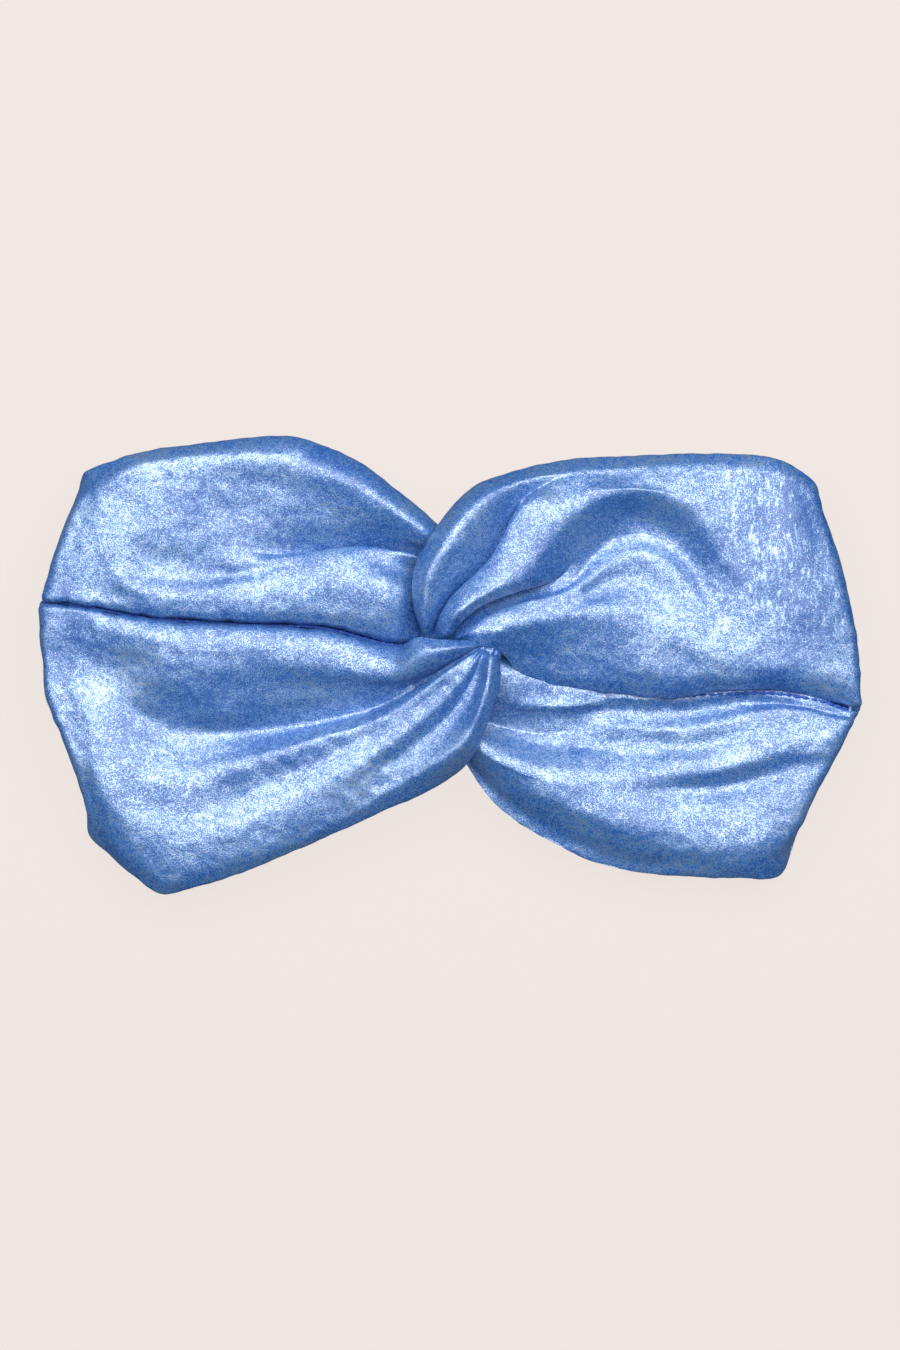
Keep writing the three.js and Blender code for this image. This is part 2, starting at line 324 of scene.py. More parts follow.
leftUpperLeg = {
    "seamDitch": (0.3, [(-116, 17.8, 9), (-115.15, 17.7, 13.8), (-110, 17.4, 15.8), (-104, 16.8, 16.8),
        (-90, 14.3, 17.2), (-70, 12.6, 17.5), (-50, 11.5, 17.5), (-40, 11.1, 17.5), (-33, 10.1, 17.5),
        (-25, 8, 17.5), (-16, 6, 17), (-8, 5.5, 15)]),
    "seamShoulder": (1, [(-115.9, 18.6, 9), (-114.95, 18.6, 16.7), (-110.5, 18.3, 18.2), (-104, 17.5, 19.7),
        (-90, 15.2, 21.2), (-70, 13.4, 22), (-50, 12.4, 22.2), (-33, 11, 22.1), (-25, 9, 21.6),
        (-16, 7.1, 20), (-8, 6.5, 16)]),
    "lobe": (1, [(-115.4, 21.3, 9), (-114.45, 21.3, 16.7), (-110, 21.3, 18.5), (-104, 21.3, 19.8),
        (-97, 20.3, 21.3), (-90, 18.5, 22.5), (-85, 17.7, 22.9), (-70, 17.3, 23.3), (-55, 17.8, 24),
        (-40, 18.3, 24.8), (-25, 17.3, 25), (-16, 14.8, 23.8), (-11, 12.5, 20), (-6, 11, 16)]),
    "spoonCrest": (1, [(-114.5, 24.6, 9), (-113.45, 24.6, 16.7), (-109.3, 24.8, 18.5), (-104, 25.2, 20),
        (-98, 25.5, 21.6), (-93.5, 23.5, 22.9), (-89, 20.9, 23.3), (-84, 20.3, 23.3), (-70, 20.6, 23.3),
        (-58, 22, 23.7), (-45, 23.2, 24.8), (-30, 23.6, 25.5), (-20, 23, 25.3), (-14, 21.5, 23.6),
        (-9, 20.5, 19.5), (-4, 19, 16)]),
    "spoonValley": (1, [(-113.5, 28.2, 9), (-112.45, 28.3, 16.7), (-108.5, 28.6, 18.5),
        (-103.5, 29.3, 20.1), (-98, 30, 21.6), (-93.5, 29.3, 22.4), (-90, 27, 22), (-85, 25.3, 21.6),
        (-78, 24.8, 21.4), (-70, 24.9, 21.4), (-60, 25.7, 21.9), (-52, 27, 22.8), (-45, 27.8, 23.5),
        (-35, 28.7, 24), (-25, 29, 23.6), (-18, 27.9, 22.4), (-14, 26.9, 20.6), (-10, 26.5, 18.3),
        (-4, 25, 16.5)]),
    "foldEdge": (1, [(-112.1, 32.3, 9), (-111.05, 32.4, 16.7), (-107.3, 32.8, 18.5), (-102.5, 33.5, 20.2),
        (-97, 34, 21.6), (-91.5, 33, 22.4), (-85, 30.3, 21.8), (-77, 29, 21.5), (-68, 28.5, 21.7),
        (-60, 28.3, 22.4), (-52, 29.4, 22.6), (-46, 30.5, 22.2), (-40, 31.4, 21.6), (-32, 32.7, 21),
        (-24, 33.2, 21.1), (-17, 32.2, 21.6), (-10, 30.4, 20.8), (-5, 28, 17)]),
    "valley": ((1, 0.1), [(-110.6, 36.5, 9), (-109.55, 36.6, 16.7), (-105.8, 37, 18.5),
        (-101.5, 37.8, 20.2), (-96, 38.5, 21.7), (-90, 38.5, 22.8), (-80, 36, 22.8), (-70, 34, 22.5),
        (-61, 33, 22.1), (-53, 31.2, 21), (-46, 30.9, 19.4), (-40, 31.1, 18.5), (-32, 31.8, 17.9),
        (-24, 32.2, 17.6), (-17, 31.2, 17.4), (-11, 29.8, 17.2), (-5, 28.5, 16.5)]),
    "midSlope": (1, [(-109.3, 40, 9), (-108.25, 40.2, 16.7), (-104.7, 41, 18.5), (-100.5, 42, 20.2),
        (-95, 43.3, 21.8), (-88, 44, 23.1), (-78, 43, 23.4), (-68, 42, 23.1), (-60, 41.5, 22.7),
        (-52, 41.3, 22.6), (-44, 41, 22.4), (-36, 40.3, 22.4), (-28, 39.2, 22.5), (-21, 37.6, 22.3),
        (-14, 34.8, 21.4), (-9, 32.6, 19), (-4, 30.5, 17)]),
    "farSlope": (1, [(-107.7, 44, 9), (-106.65, 44.3, 16.5), (-103.3, 45.6, 18.4), (-99.5, 47, 20.1),
        (-94, 48.8, 21.7), (-86, 50.5, 23.3), (-76, 51, 24), (-66, 51.3, 24.3), (-58, 51.3, 24.2),
        (-50, 50, 24.2), (-42, 48, 24.3), (-34, 45.8, 24.5), (-26, 43, 24.7), (-18, 39.5, 24.5),
        (-11, 35.8, 23.3), (-6, 33, 21), (-2, 31, 18)]),
    "rimRidge": (1, [(-105.8, 49.3, 9), (-104.6, 49.7, 13.3), (-101.8, 51.2, 16.5), (-98, 52.8, 18.8),
        (-92, 55.2, 21.2), (-84, 57.2, 22.8), (-75, 58.5, 24), (-60, 59.6, 25), (-47, 58.6, 25.8),
        (-38, 55.5, 26.3), (-30, 51.7, 26.5), (-20, 45.7, 26.5), (-14, 41.4, 26), (-8, 36.8, 24.2),
        (-1, 32, 18)]),
    "rimEdge": (1, [(-104.6, 53, 9), (-103.5, 54.6, 11.5), (-100, 56, 14.5), (-90, 59.1, 17),
        (-80, 61.1, 17.5), (-70, 62.6, 18), (-60, 63.8, 18.3), (-50, 64.3, 18.5), (-42, 63.5, 18.5),
        (-37, 62, 18.5), (-30, 59, 18.3), (-20, 52.5, 18), (-10, 44.5, 18), (-4, 39.3, 17.5),
        (1, 34.5, 16)]),
    "rimUnder": (1, [(-101.5, 50.5, 9.6), (-99, 51, 11.5), (-90, 54.5, 12.8), (-75, 57, 12.8),
        (-60, 59, 12.8), (-50, 59.5, 12.8), (-40, 58.3, 12.8), (-30, 54, 12.8), (-20, 48, 12.8),
        (-10, 40.5, 12.8), (-1, 33, 12.8)]),
    "seamUnder": (1, [(-112, 20, 9.8), (-108, 19.5, 11.5), (-100, 18, 12.8), (-85, 15.6, 12.8),
        (-70, 14.2, 12.8), (-50, 13.2, 12.8), (-33, 12, 12.8), (-20, 9, 12.8), (-8, 7.5, 12.8)]),
}

leftLowerLeg = {
    "seamDitch": (0.3, [(-116, 17.2, 9), (-115.15, 17.1, 13.8), (-110, 16.8, 15.8), (-104, 16.1, 16.8),
        (-90, 13.6, 17.2), (-70, 12, 17.5), (-50, 10.9, 17.5), (-40, 10.4, 17.5), (-33, 9.4, 17.5),
        (-25, 7.2, 17.5), (-18, 5.6, 17.8), (-14.5, 5.6, 19.5), (-12, 7, 24), (-9, 8, 27), (-5, 7.5, 28.5),
        (0, 7, 29), (3.5, 6.9, 28.3), (7, 6.4, 26), (10, 6, 21)]),
    "seamShoulder": (1, [(-116.1, 16, 9), (-115.25, 16.1, 16.7), (-110.5, 15.9, 18.2), (-104, 15.2, 19.7),
        (-90, 12.7, 21.2), (-70, 11.1, 22), (-50, 10.1, 22.3), (-33, 8.4, 21.9), (-25, 6.2, 21.6),
        (-19, 4.4, 21.6), (-16, 3.8, 22.4), (-13.5, 4.6, 24.6), (-11, 5.9, 27.3), (-8, 6.6, 29),
        (-4, 6.2, 30.2), (0, 6, 30.3), (3.5, 6.1, 29.3), (7, 5.9, 26.5), (10, 5.5, 21)]),
    "ridge": (1, [(-116.2, 13.3, 9), (-115.25, 13.4, 16.7), (-110.8, 13.4, 18.2), (-104, 12.8, 19.8),
        (-96, 11, 21.3), (-88, 9.3, 22.7), (-78, 7.8, 23.5), (-68, 7, 24), (-58, 6.3, 24.2),
        (-49, 5.3, 24.3), (-40, 3.5, 24.3), (-30, 1, 24), (-23, -0.8, 24.2), (-18.5, -2, 25),
        (-15.3, -1.6, 26.4), (-12.5, 0.8, 28.6), (-9, 3.3, 30.5), (-5, 4.3, 31.4), (0, 4.6, 31.4),
        (4, 5, 29.8), (7.3, 5.5, 27), (10.3, 5, 21)]),
    "ridgeEnd": (1, [(-116.2, 9.5, 9), (-115.25, 9.6, 16.7), (-111, 9.6, 17.9), (-104, 8.8, 19.2),
        (-96, 6.6, 20.6), (-88, 4.4, 22), (-78, 3, 23.2), (-68, 2.3, 23.7), (-58, 1.6, 23.8),
        (-49, 0.6, 23.7), (-40, -1.3, 23.4), (-30, -3.1, 23.2), (-23, -4, 23.4), (-18.5, -4.2, 24.4),
        (-15, -3.8, 25.6), (-10.5, -1.8, 28.2), (-6.5, 0.6, 29.8), (-1.5, 2.6, 30.4), (3.5, 4.2, 29.5),
        (7.4, 5.2, 27), (10.5, 4.6, 21)]),
    "darkSlope": (1, [(-116.1, 6, 9), (-115.15, 6, 16.5), (-111, 5.8, 17.2), (-104, 4.6, 18.4),
        (-96, 1.5, 19.2), (-88, -1.5, 20.4), (-78, -4, 21.6), (-68, -5, 22), (-58, -5, 21.8),
        (-49, -4.8, 21.4), (-40, -5.3, 21), (-30, -5.9, 20.4), (-23, -6, 20.2), (-17.5, -5.8, 20.6),
        (-13, -5, 21.8), (-9, -3.4, 24), (-5, -1.2, 26.3), (-1, 1.1, 27.6), (3, 3.2, 27.9),
        (6.5, 4.9, 26.7), (10.6, 4.3, 21)]),
    "deep": (1, [(-115.9, 2.5, 9), (-114.95, 2.4, 16.3), (-111, 2, 16.8), (-104, 0, 17.9), (-96, -4, 18.3),
        (-88, -8.2, 18.3), (-78, -12.2, 18.4), (-68, -13.6, 18.9), (-58, -13.2, 18.9), (-49, -11.7, 18.8),
        (-40, -10.5, 18.7), (-30, -9.3, 18.4), (-23, -8.7, 18.2), (-17.5, -7.8, 18.2), (-12.5, -6.2, 18.8),
        (-8.5, -4.3, 21), (-4.5, -1.9, 23.6), (-0.5, 0.7, 25.4), (3.5, 2.9, 26.4), (6.9, 4.7, 26),
        (10.8, 4.1, 21)]),
    "valley": (1, [(-115.6, -1.5, 9), (-114.65, -1.7, 16.2), (-110.7, -2.2, 16.8), (-104, -4.8, 18),
        (-96, -9.4, 18.2), (-88, -14.6, 16.9), (-78, -18.9, 16.6), (-68, -19.5, 16), (-58, -19, 15.7),
        (-49, -18, 15.4), (-40, -16.6, 15.2), (-30, -14.5, 15.3), (-23, -12.3, 15.8), (-17.5, -10, 16.9),
        (-12, -7.4, 19), (-8, -5.1, 21.3), (-4, -2.7, 23.6), (0, 0, 25.3), (3.8, 2.4, 26.2), (7, 4.5, 25.9),
        (10.9, 3.9, 21)]),
    "rise": (1, [(-115, -7, 9), (-114.05, -7.3, 16.2), (-110.2, -8, 17.2), (-104, -10.8, 18.8),
        (-96, -16, 19.2), (-88, -21.2, 18.3), (-78, -25, 18.2), (-68, -24.3, 18), (-58, -23.3, 18.3),
        (-49, -21.6, 18.6), (-40, -19.3, 19), (-30, -16.6, 19.7), (-23, -14, 20.6), (-17, -11, 21.7),
        (-11, -7.4, 23.6), (-6, -4.3, 25.3), (-1, -1, 27), (3.7, 2, 27.4), (7.2, 4.3, 26.4),
        (11, 3.8, 21)]),
    "crestThree": (1, [(-113.2, -13.3, 9), (-112.25, -13.7, 16.5), (-108.5, -15, 17.7), (-102.5, -19, 19.5),
        (-94, -26, 20.5), (-84, -31.8, 20.9), (-74, -30.5, 20.2), (-64, -28, 20.2), (-54, -25, 20.4),
        (-46, -22.5, 20.7), (-37, -20, 21.2), (-29, -17.8, 21.9), (-22, -15.4, 22.7), (-16, -12.4, 23.6),
        (-10.5, -8.7, 25), (-5.5, -5, 26.5), (-0.8, -1.6, 27.7), (3.6, 1.6, 28), (7.4, 4, 26.8),
        (11.3, 3.5, 21)]),
    "dipFour": (1, [(-110.8, -19.3, 9), (-109.85, -19.8, 16.7), (-106, -21.8, 18.2), (-99.5, -28, 20.3),
        (-91, -35.5, 20.8), (-81, -40, 20.5), (-71, -40.8, 19.9), (-62, -38.4, 19.3), (-53, -34.6, 19.2),
        (-45, -30.8, 19.6), (-37, -26.9, 20.3), (-29, -23, 21.4), (-22, -19.4, 22.5), (-15.5, -15.6, 23.7),
        (-9.5, -11.4, 25), (-4, -7.1, 26.5), (1, -2.7, 27.8), (4.5, 0.8, 28.3), (7.7, 3.7, 27.2),
        (11.5, 3.2, 21)]),
    "crestFour": (1, [(-108.4, -25, 9), (-107.45, -25.6, 16.7), (-103.8, -28.3, 18.5), (-98, -35.8, 20.4),
        (-90, -43.5, 20.8), (-80, -47.3, 20.6), (-70, -47.3, 20.5), (-60, -45.2, 20.6), (-50, -41, 20.7),
        (-42, -37, 21.2), (-34, -32.3, 22), (-26, -27.3, 23), (-18.5, -22.5, 24.1), (-12, -17.8, 25.1),
        (-6, -13, 26.1), (0, -7.4, 27.3), (4.3, -1.6, 28.4), (7.9, 3.5, 28), (11.8, 2.8, 22)]),
    "slopeFour": (1, [(-106, -31, 9), (-105.25, -32, 16.2), (-102, -36, 17.8), (-96.5, -43.8, 19.4),
        (-88, -50, 20), (-79, -52.8, 20.1), (-70, -52.5, 20), (-60, -50.3, 20), (-50, -46.3, 20.2),
        (-41, -41.6, 20.7), (-32, -37, 20.9), (-23, -31.3, 21.7), (-14, -25, 22.6), (-6.5, -19.3, 23.4),
        (0, -13, 24.4), (4, -6.5, 25.6), (7, -0.6, 26.8), (8.6, 3, 27.2), (12, 2.4, 22)]),
    "foldFive": (1, [(-104.2, -36.5, 9), (-103.65, -38, 15.7), (-100.5, -42.5, 16.8), (-95.5, -49, 18),
        (-88, -54.7, 18.6), (-80, -58, 18.9), (-70, -57, 18.9), (-60, -54.4, 18.9), (-50, -50.6, 19),
        (-40, -46.1, 19.3), (-30, -40.7, 19.9), (-20, -33.8, 21.3), (-11.5, -26.8, 23), (-4.5, -20.6, 24.2),
        (0, -16, 24.9), (3.6, -11.6, 25.5), (5.8, -6.8, 26), (7.3, -1.5, 27), (9.3, 3, 28), (12.3, 2, 22)]),
    "foldFiveRidge": (1, [(-103.1, -40.3, 9), (-102.65, -42.3, 14.7), (-100, -46.3, 15.2),
        (-95.5, -52, 16.1), (-88.5, -57.7, 16.7), (-80.5, -61.5, 17.3), (-69, -59.5, 17.5),
        (-56, -55.2, 17.7), (-43, -50, 18), (-30, -43.5, 18.8), (-19, -37, 20.8), (-10, -31.3, 23.7),
        (-3, -27, 26.5), (2.3, -22.8, 28.7), (6, -16.7, 30), (8.4, -10, 30.8), (9.8, -3, 31),
        (10.5, 2.6, 30.3), (13, 1.5, 23)]),
    "rimEdge": (1, [(-102.5, -44, 9), (-101.8, -48.5, 10), (-97.5, -52.6, 11.5), (-91, -57.8, 13),
        (-84.5, -63.3, 14), (-80.5, -64.3, 14.4), (-70, -62, 15), (-60, -58.6, 15.3), (-50, -54.6, 15.7),
        (-40, -50.3, 16), (-30, -45.7, 16.5), (-20, -41.2, 17.3), (-10, -37, 18.5), (0, -31.3, 20),
        (4, -28, 21.5), (6.6, -24, 22.8), (9.2, -18, 24), (11, -12, 24.5), (12.7, -7, 25), (13.3, -2, 25.3),
        (12.8, 2.5, 25.5), (13.5, 5, 21)]),
    "rimUnder": (1, [(-99.5, -43.5, 9.6), (-98, -47, 11), (-92, -51.5, 12.5), (-82, -58, 12.8),
        (-70, -57, 12.8), (-55, -51.5, 12.8), (-40, -45, 12.8), (-25, -38, 13), (-12, -32, 14.5),
        (-2, -26.5, 18), (4, -18, 21.5), (7.5, -10, 22.5), (8.5, -3, 22.5), (9.5, 3, 21)]),
    "seamUnder": (1, [(-112, 14, 9.8), (-108, 14.2, 11.5), (-100, 12.5, 12.8), (-85, 10, 12.8),
        (-70, 9, 12.8), (-50, 8, 12.8), (-33, 6.5, 12.8), (-22, 3, 13.5), (-14, 0.5, 16), (-7, 1, 20),
        (0, 2.5, 22), (8, 4.5, 21)]),
}

rightUpperLeg = {
    "rimEdge": (1, [(103.3, 47, 9), (102.6, 50, 11), (100, 53, 13.5), (95, 56.5, 15.5), (90, 58.2, 16.3),
        (80, 59.4, 16.8), (70, 59.6, 17), (60, 59.3, 17.2), (50, 58.8, 17.3), (40, 58.3, 17.5),
        (30, 57.3, 18), (20, 55.3, 18.8), (10, 52, 20), (3, 47.5, 22), (-4, 39.3, 24), (-9.5, 30, 24.5),
        (-11.2, 24, 24.5), (-11, 18, 23.8), (-10, 13.5, 23), (-8.8, 9, 22.5), (-7.8, 5, 20)]),
    "strandOne": (1, [(103.6, 45.5, 9), (102.95, 46.8, 16.2), (99.5, 49.8, 18), (94, 53.6, 19.5),
        (87, 55.4, 20.3), (78, 56.4, 21), (65, 56.7, 21.7), (50, 56, 22.5), (38, 55.2, 23.3),
        (27, 53.7, 24.8), (17, 51.2, 27), (9.5, 47.3, 29.5), (3.5, 42, 31.3), (-1.5, 35.5, 32.3),
        (-5, 29.5, 32.3), (-7.2, 24, 31.8), (-8, 18, 30.3), (-7.9, 12, 28.2), (-7.2, 5, 21)]),
    "strandValley": ((1, 0.2), [(104.4, 43, 9), (103.55, 43.5, 16.4), (100, 45.8, 18.5), (94, 49.2, 20.5),
        (87, 51.2, 21.5), (78, 52.4, 22.5), (65, 53.3, 23.5), (50, 53.2, 24.3), (38, 52.8, 24.8),
        (30.5, 52.4, 25.3), (25.5, 50.2, 25.4), (20.6, 47.2, 24.8), (17.4, 42, 24.2), (14.8, 36.5, 23.8),
        (11.9, 31.3, 23.5), (8, 26.8, 23.2), (3.6, 22.3, 23), (-0.6, 17.8, 22.9), (-3.6, 13.3, 22.9),
        (-5.2, 10, 23), (-6, 5, 20)]),
    "strandTwoEdge": (0.9, [(105.2, 41, 9), (104.25, 41.4, 16.5), (100.8, 42.6, 18.7), (94.5, 45.3, 21),
        (87, 47.5, 22), (78, 49.3, 23.2), (66, 50.6, 24.4), (54, 51.1, 25.3), (43, 50.8, 26),
        (33, 49.9, 26.6), (25.5, 48.6, 27.4), (19.8, 45.8, 28), (16, 40.8, 28.3), (13.2, 35, 28.3),
        (10.2, 29.6, 28.2), (5.8, 25, 27.9), (1, 20.4, 27.5), (-2.6, 15.6, 27), (-4.5, 10.8, 26.2),
        (-5.2, 5, 21)]),
    "archRidge": (1, [(110.3, 24, 9), (109.35, 24, 16.7), (105.5, 24.5, 18.9), (99.5, 26, 21.2),
        (92, 29, 22.8), (84, 34, 24), (77, 39, 24.8), (70, 43.3, 25.4), (62, 46.7, 26), (54, 48.3, 26.5),
        (46, 48, 27), (39, 45.3, 27.7), (32.5, 39.8, 28.8), (26, 32.5, 30), (19.5, 26.5, 31.5),
        (13, 22.3, 32.5), (7, 18.7, 32.7), (2, 14.8, 31.8), (-1, 11.5, 30), (-3, 8.5, 27.5),
        (-3.5, 5, 22)]),
    "archEdge": (1, [(111.3, 19, 9), (110.35, 19, 16.7), (106.5, 19.3, 18.8), (100.5, 19.8, 21),
        (92, 21, 22.6), (83.5, 24.5, 23.6), (77, 29.5, 24), (72.5, 35, 24.1), (67, 40.2, 24.2),
        (60, 43.8, 24.3), (53, 45.3, 24.4), (46, 44.7, 24.6), (40, 41.3, 25), (34.5, 35.8, 25.6),
        (29.7, 27.5, 25.2), (24.5, 22.6, 26.8), (18.5, 20.3, 27.9), (12, 18, 28.5), (6.5, 15.3, 28.6),
        (2.5, 12, 28.1), (0.3, 9.3, 27), (-1.2, 7.5, 25.5), (-1.5, 5, 22)]),
    "archSlope": ((1, 0.1), [(112, 15.5, 9), (111.05, 15.5, 16.7), (107.2, 15.7, 18.7), (101, 15.7, 20.9),
        (92.5, 16, 22.3), (84.5, 17.5, 23), (78, 21.5, 23), (73.3, 27, 22.5), (69, 32.5, 22),
        (64, 37.3, 21.5), (58, 40.5, 21.2), (52, 41.5, 21.1), (46, 40.3, 21.2), (40.5, 36.8, 21.7),
        (35.5, 31.3, 22.4), (30.5, 25, 22.6), (25.5, 22.4, 22.6), (19.3, 21.2, 22.8), (12.2, 19.3, 23.1),
        (6.4, 16.8, 23.4), (2.2, 13.3, 23.4), (-0.1, 10, 23), (-0.6, 7.5, 22.5), (-0.5, 5, 21)]),
    "archValley": (1, [(112.7, 12, 9), (111.75, 12, 16.7), (107.8, 12, 18.5), (101.3, 11.7, 20.7),
        (92.5, 11.5, 22), (84.5, 12.5, 22.6), (77, 15, 22.4), (72, 19.5, 21.5), (68.5, 25, 20.7),
        (64.5, 30.3, 20), (59.5, 34.3, 19.6), (53.5, 36.3, 19.4), (47.5, 35.8, 19.4), (42, 32.8, 19.8),
        (37, 27.3, 21), (32, 22.4, 22.8), (26.5, 20, 24), (20.5, 18.6, 24.7), (13.5, 16.4, 25.3),
        (8, 13.9, 25.8), (4, 10.8, 25.7), (1.6, 8.5, 24.8), (0.6, 7, 23.3), (0.3, 5, 20.5)]),
    "innerArch": (1, [(113.4, 9, 9), (112.45, 9, 16.7), (108.4, 8.8, 18.3), (101.5, 8.3, 20.4),
        (92.5, 8, 21.7), (84, 8.5, 22.4), (76.5, 10.5, 22.8), (71, 14.5, 22.8), (67.5, 19.5, 22.6),
        (64, 23.8, 22.3), (60, 27.8, 22.1), (55.3, 30.3, 22), (50, 30.7, 22), (44.5, 28.5, 22.2),
        (39, 24.4, 23), (33.5, 20.9, 24.2), (27.5, 19, 25.1), (21, 17.9, 25.8), (14.5, 15.7, 26.5),
        (9, 13.3, 27.1), (5, 10.4, 27), (2.5, 8.2, 25.7), (1.3, 6.8, 23.8), (0.8, 5, 20.5)]),
    "innerDip": (1, [(113.9, 6, 9), (112.95, 6, 16.5), (108.9, 5.7, 18.1), (101.8, 5.2, 20.1),
        (92.5, 5.2, 21.4), (83.5, 5.8, 22.2), (75, 7.5, 22.8), (69, 10.5, 23), (65, 14.5, 22.9),
        (62, 18.5, 22.5), (58, 22, 22), (53, 24.3, 21.6), (47.5, 24.3, 21.5), (42, 22.3, 21.9),
        (36.5, 19.3, 23.6), (30.5, 17.6, 25.2), (24.5, 16.8, 26.1), (18.5, 15.3, 27.1), (12.5, 13, 27.9),
        (8, 10.9, 28.1), (4.8, 9, 27.4), (2.7, 7.2, 25), (1.7, 5, 20.8)]),
    "eyeRidge": (1, [(114.5, 1, 9), (113.65, 1, 16.3), (109.5, 1, 17.8), (102, 1.3, 19.7), (92.5, 1.8, 21),
        (82.5, 2.5, 22), (73, 4, 22.8), (66, 6.5, 23.4), (60.5, 10, 23.8), (56, 13, 24.1), (50, 15, 24.4),
        (43, 15.7, 24.9), (36, 15, 25.2), (29, 14.3, 26.2), (22, 13, 27.3), (15.5, 11, 28.3),
        (10.5, 9.2, 28.5), (6.5, 7.6, 27.7), (4, 6.4, 25.3), (3, 5, 21.5)]),
    "belly": (1, [(114.9, -4, 9), (114.05, -4, 16), (110, -3.7, 17.4), (102.3, -2.5, 19.3),
        (92.5, -1.5, 20.5), (82.5, -1, 21.5), (73, -0.3, 22.2), (65, 1.5, 22.8), (58, 4, 23.2),
        (51, 6.3, 23.4), (44, 8, 23.6), (37, 8.8, 23.4), (30, 8.4, 23.9), (23, 7.8, 24.8), (16.5, 7, 26),
        (11.5, 6.3, 26.7), (7.5, 5.8, 26.4), (4.8, 5.6, 24.7), (4.2, 5, 21.5)]),
    "lowSlope": (1, [(114.8, -8.5, 9), (114.05, -8.3, 15.4), (110, -7.3, 16.4), (102.3, -5.2, 18.2),
        (92.5, -4.1, 19.3), (82.5, -3.8, 20.4), (73, -4.2, 21.1), (64, -4.3, 21.6), (55, -3.3, 21.8),
        (47, -1.8, 21.7), (39, -0.4, 21.2), (31, 1, 21.2), (24.5, 2.4, 21.7), (19, 3.5, 22.8),
        (14.5, 4.4, 24.2), (11, 4.9, 25.2), (8, 5, 25.4), (5.8, 5.2, 24.4), (4.8, 5, 21.5)]),
    "overhang": (1, [(114.7, -11.3, 9), (114.15, -11, 14.5), (110, -9.7, 15.2), (102.3, -7.5, 16.8),
        (92.5, -6.1, 17.6), (82.5, -5.9, 18.5), (73, -6.6, 19.1), (65, -7.7, 19.3), (57, -7.5, 19.3),
        (49, -6.6, 19.2), (41, -5.6, 19.2), (33, -4.6, 19.2), (26.5, -3.1, 19.5), (21.5, -1.1, 20.1),
        (17.5, 1.1, 21.2), (14.2, 3.1, 22.7), (11.5, 4.1, 23.8), (8.8, 4.6, 24.2), (6.6, 4.9, 23.6),
        (5.6, 5, 21.5)]),
    "overhangEdge": (1, [(114.5, -12.9, 9), (113.95, -12.6, 11.4), (108, -10.6, 13.3), (102, -8.9, 14.4),
        (95, -7.5, 15.2), (88, -6.9, 15.9), (80, -7, 16.4), (73, -7.7, 16.8), (66, -8.8, 17), (60, -9, 17),
        (50, -8.2, 17), (40, -7.3, 17), (30, -6, 17.3), (25, -5, 17.8), (20, -3, 18.7), (17, -0.8, 19.8),
        (14.6, 2.3, 21.5), (12.5, 3.4, 22.5), (9, 4, 23), (6.5, 4.6, 22.5), (6, 5, 21)]),
    "seamUnder": (1, [(111, -10, 9.8), (107, -9, 11.5), (98, -6, 12.8), (85, -4.5, 12.8), (70, -5, 12.8),
        (50, -4.5, 12.8), (35, -3, 13), (25, -1, 15), (18, 2, 18), (12, 5, 20.5), (7, 6.5, 20.5)]),
    "rimUnder": (1, [(100.5, 44.5, 9.6), (99, 47.5, 11), (93, 52, 12.8), (80, 55, 12.8), (65, 55.5, 12.8),
        (45, 54.5, 12.8), (30, 53, 13), (18, 49, 15), (8, 43, 18.5), (0, 34, 21.5), (-4.5, 25, 21.5),
        (-6, 16, 20.5), (-5, 8, 20)]),
}

